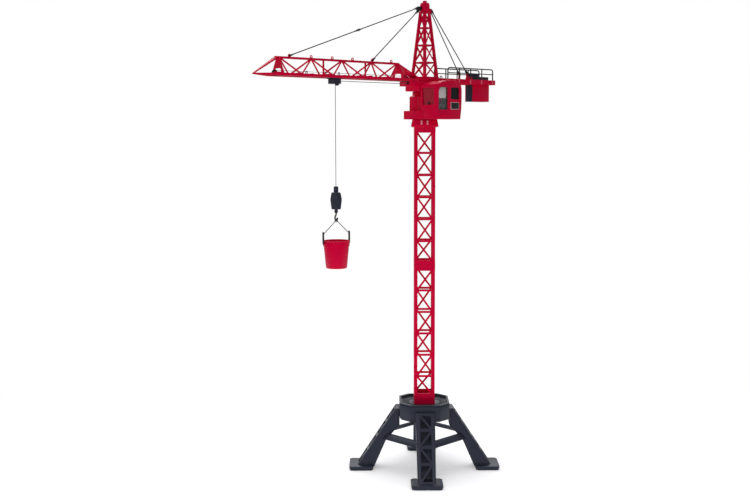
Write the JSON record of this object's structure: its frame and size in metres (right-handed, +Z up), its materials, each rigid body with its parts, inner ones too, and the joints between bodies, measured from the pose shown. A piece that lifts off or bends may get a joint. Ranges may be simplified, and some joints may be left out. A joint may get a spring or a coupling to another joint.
{
  "type": "toy tower crane",
  "caption": "Slewing toy tower crane on a splayed four-legged base, with a lattice mast and jib, cab, trolley, hook block and hanging bucket.",
  "frame": {"origin": "on the floor, at the centre of the crane's bounding box; the tower axis stands at x = 0.146 m, y = 0", "axes": "+Z up; the jib points along -X and the counter-jib along +X; the cab is on the -Y side; the base and mast are turned 42 degrees clockwise (seen from above) about the tower axis"},
  "size_m": [0.768, 0.3356, 1.2],
  "materials": {
    "crimson_plastic": "moulded, satin to semi-gloss",
    "charcoal_plastic": "moulded, fine satin grain",
    "black_plastic": "moulded satin",
    "clear_plastic": "clear glazing",
    "ivory_plastic": "natural moulded gear plastic",
    "steel": "drawn and plated",
    "rope": "twisted grey cord"
  },
  "bodies": {
    "base": {"base_hub": "charcoal_plastic", "hub_top_plate": "charcoal_plastic", "hub_bottom_cover": "charcoal_plastic", "leg_front": "charcoal_plastic", "leg_right": "charcoal_plastic", "leg_rear": "charcoal_plastic", "leg_left": "charcoal_plastic", "brace_front_right": "charcoal_plastic", "brace_rear_right": "charcoal_plastic", "brace_rear_left": "charcoal_plastic", "brace_front_left": "charcoal_plastic", "mast_lower": "crimson_plastic", "mast_upper": "crimson_plastic", "mast_collar": "crimson_plastic", "slew_ring_gear": "ivory_plastic"},
    "upper_works": {"slew_platform": "crimson_plastic", "head_housing_near": "crimson_plastic", "head_housing_far": "crimson_plastic", "winch_housing": "crimson_plastic", "cab_shell": "crimson_plastic", "cab_floor": "crimson_plastic", "cab_side_window": "clear_plastic", "cab_rear_window": "black_plastic", "cab_front_window": "clear_plastic", "cab_seat": "black_plastic", "cathead": "crimson_plastic", "cathead_cap": "crimson_plastic", "stay_lug_front": "black_plastic", "front_stay_outer": "black_plastic", "front_stay_inner": "black_plastic", "front_stay_short": "black_plastic", "rear_stay_near": "black_plastic", "rear_stay_far": "black_plastic", "jib_truss": "crimson_plastic", "counter_jib_deck": "crimson_plastic", "railing_near": "black_plastic", "railing_far": "black_plastic", "ballast_block": "charcoal_plastic", "ballast_cover_near": "crimson_plastic", "ballast_cover_far": "crimson_plastic", "slew_motor": "steel", "hoist_motor": "steel", "trolley_motor": "steel", "trolley_rope_outer": "rope", "trolley_rope_inner": "rope"},
    "slew_pinion": {"slew_pinion": "ivory_plastic"},
    "hoist_drum": {"hoist_drum": "black_plastic"},
    "trolley_drum": {"trolley_drum": "black_plastic"},
    "tip_pulley": {"tip_pulley": "black_plastic"},
    "trolley": {"trolley_frame": "charcoal_plastic", "hoist_rope_run": "rope", "hoist_rope_fall": "rope"},
    "trolley_sheave": {"trolley_sheave": "black_plastic"},
    "front_wheels": {"trolley_wheels_front": "steel"},
    "rear_wheels": {"trolley_wheels_rear": "steel"},
    "hook_block": {"hook_block": "charcoal_plastic"},
    "hook": {"hook": "black_plastic"},
    "bail": {"bucket_bail": "black_plastic"},
    "bucket": {"bucket": "crimson_plastic"}
  },
  "joints": [
    {"name": "slew", "type": "hinge", "parent": "base", "child": "upper_works", "pos_m": [0.146, 0, 0.92], "axis": [0, 0, 1], "range_deg": [-175, 175]},
    {"name": "slew_pinion_spin", "type": "hinge", "parent": "upper_works", "child": "slew_pinion", "pos_m": [0.15952, 0.01501, 0.91], "axis": [0, 0, 1], "range_deg": [-710, 710]},
    {"name": "trolley_slide", "type": "slide", "parent": "upper_works", "child": "trolley", "axis": [-1, 0, 0], "range_m": [-0.165, 0.145], "deforming": ["hoist_rope_run", "trolley_rope_outer", "trolley_rope_inner"]},
    {"name": "trolley_drum_spin", "type": "hinge", "parent": "upper_works", "child": "trolley_drum", "pos_m": [0.1375, 0, 0.9862], "axis": [0, 1, 0], "range_deg": [-1750, 1550]},
    {"name": "tip_pulley_spin", "type": "hinge", "parent": "upper_works", "child": "tip_pulley", "pos_m": [-0.325, 0, 1.0053], "axis": [0, 1, 0], "range_deg": [-1750, 1550]},
    {"name": "front_wheels_roll", "type": "hinge", "parent": "trolley", "child": "front_wheels", "pos_m": [-0.1583, 0, 1.0022], "axis": [0, -1, 0], "range_deg": [-5000, 4400]},
    {"name": "rear_wheels_roll", "type": "hinge", "parent": "trolley", "child": "rear_wheels", "pos_m": [-0.1427, 0, 1.0022], "axis": [0, -1, 0], "range_deg": [-5000, 4400]},
    {"name": "hoist", "type": "slide", "parent": "trolley", "child": "hook_block", "axis": [0, 0, -1], "range_m": [-0.225, 0.54], "deforming": ["hoist_rope_fall"]},
    {"name": "hoist_drum_spin", "type": "hinge", "parent": "upper_works", "child": "hoist_drum", "pos_m": [0.1585, 0, 0.9862], "axis": [0, -1, 0], "range_deg": [-2300, 5500]},
    {"name": "trolley_sheave_spin", "type": "hinge", "parent": "trolley", "child": "trolley_sheave", "pos_m": [-0.1433, 0, 0.9873], "axis": [0, -1, 0], "range_deg": [-2500, 6000]},
    {"name": "hook_swivel", "type": "hinge", "parent": "hook_block", "child": "hook", "pos_m": [-0.1485, 0, 0.69], "axis": [0, 0, 1], "continuous": true},
    {"name": "bail_swing", "type": "hinge", "parent": "hook", "child": "bail", "pos_m": [-0.1485, 0, 0.6645], "axis": [0.2079, 0.9781, 0], "range_deg": [-25, 25]},
    {"name": "bucket_tip", "type": "hinge", "parent": "bail", "child": "bucket", "pos_m": [-0.1485, 0, 0.6115], "axis": [0.9781, -0.2079, 0], "range_deg": [-100, 100]}
  ],
  "couplings": [
    {"joint": "slew_pinion_spin", "follows": "slew", "ratio": 4},
    {"joint": "trolley_drum_spin", "follows": "trolley_slide", "rad_per_m": 181.82},
    {"joint": "tip_pulley_spin", "follows": "trolley_slide", "rad_per_m": 178.57},
    {"joint": "front_wheels_roll", "follows": "trolley_slide", "rad_per_m": 526.32},
    {"joint": "rear_wheels_roll", "follows": "trolley_slide", "rad_per_m": 526.32},
    {"joint": "hoist_drum_spin", "follows": "hoist", "rad_per_m": 175.44},
    {"joint": "trolley_sheave_spin", "follows": "hoist", "rad_per_m": 192.31}
  ]
}
